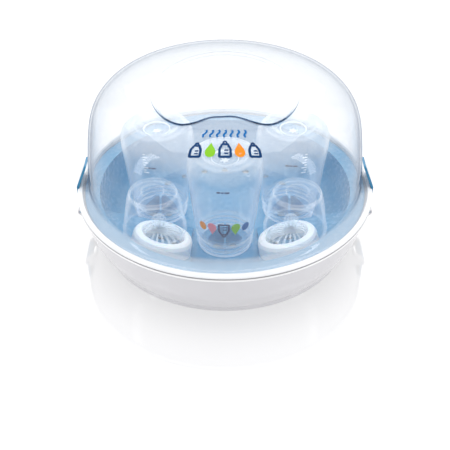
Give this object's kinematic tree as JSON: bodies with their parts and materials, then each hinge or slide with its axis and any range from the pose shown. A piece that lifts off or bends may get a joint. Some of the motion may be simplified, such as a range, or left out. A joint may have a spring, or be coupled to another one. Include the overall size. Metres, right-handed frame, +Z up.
{
  "type": "bottle sterilizer",
  "caption": "Round microwave steam steriliser with a white base bowl, perforated rack, clear domed lid and side clips, loaded with feeding bottles.",
  "frame": {"origin": "middle of the base's underside, on the surface it stands on", "axes": "+Z up through the lid, +X towards one side clip, -Y towards the front, where the single bottle stands"},
  "size_m": [0.2834, 0.28, 0.1656],
  "materials": {
    "base_white": "smooth glossy moulded polypropylene",
    "rack_blue": "smooth light blue moulded polypropylene",
    "lid_clear": "clear glossy moulded plastic",
    "clip_blue": "glossy deep blue moulded plastic",
    "bottle_clear": "slightly milky clear polypropylene with printed marks",
    "ring_white": "satin white moulded polypropylene",
    "teat_silicone": "clear soft silicone",
    "cap_clear": "clear glossy moulded plastic"
  },
  "bodies": {
    "base": {"base_bowl": "base_white"},
    "lid": {"lid": "lid_clear"},
    "rack": {"rack": "rack_blue"},
    "clip_right": {"clip_right": "clip_blue"},
    "clip_left": {"clip_left": "clip_blue"},
    "bottle_front": {"bottle_front": "bottle_clear"},
    "bottle_left": {"bottle_left": "bottle_clear"},
    "bottle_right": {"bottle_right": "bottle_clear"},
    "ring_left": {"screw_ring_left": "ring_white", "teat_left": "teat_silicone"},
    "ring_right": {"screw_ring_right": "ring_white", "teat_right": "teat_silicone"},
    "cap_left": {"cap_left": "cap_clear"},
    "cap_right": {"cap_right": "cap_clear"}
  },
  "joints": [
    {"name": "lid_lift", "type": "slide", "parent": "base", "child": "lid", "axis": [0, 0, 1], "range_m": [0, 0.11]},
    {"name": "rack_lift", "type": "slide", "parent": "base", "child": "rack", "axis": [0, 0, 1], "range_m": [0, 0.055]},
    {"name": "clip_right_hinge", "type": "hinge", "parent": "base", "child": "clip_right", "pos_m": [0.1385, 0, 0.032], "axis": [0, 1, 0], "range_deg": [0, 125]},
    {"name": "clip_left_hinge", "type": "hinge", "parent": "base", "child": "clip_left", "pos_m": [-0.1385, 0, 0.032], "axis": [0, -1, 0], "range_deg": [0, 125]},
    {"name": "bottle_front_lift", "type": "slide", "parent": "rack", "child": "bottle_front", "axis": [0, 0, 1], "range_m": [0, 0.033]},
    {"name": "bottle_left_lift", "type": "slide", "parent": "rack", "child": "bottle_left", "axis": [0, 0, 1], "range_m": [0, 0.033]},
    {"name": "bottle_right_lift", "type": "slide", "parent": "rack", "child": "bottle_right", "axis": [0, 0, 1], "range_m": [0, 0.033]},
    {"name": "ring_left_lift", "type": "slide", "parent": "rack", "child": "ring_left", "axis": [0, 0, 1], "range_m": [0, 0.012]},
    {"name": "cap_left_lift", "type": "slide", "parent": "ring_left", "child": "cap_left", "axis": [0, 0, 1], "range_m": [0, 0.028]},
    {"name": "ring_right_lift", "type": "slide", "parent": "rack", "child": "ring_right", "axis": [0, 0, 1], "range_m": [0, 0.012]},
    {"name": "cap_right_lift", "type": "slide", "parent": "ring_right", "child": "cap_right", "axis": [0, 0, 1], "range_m": [0, 0.028]}
  ],
  "couplings": [
    {"joint": "clip_right_hinge", "follows": "lid_lift", "rad_per_m": 19.83},
    {"joint": "clip_left_hinge", "follows": "lid_lift", "rad_per_m": 19.83},
    {"joint": "rack_lift", "follows": "lid_lift", "ratio": 0.5}
  ]
}
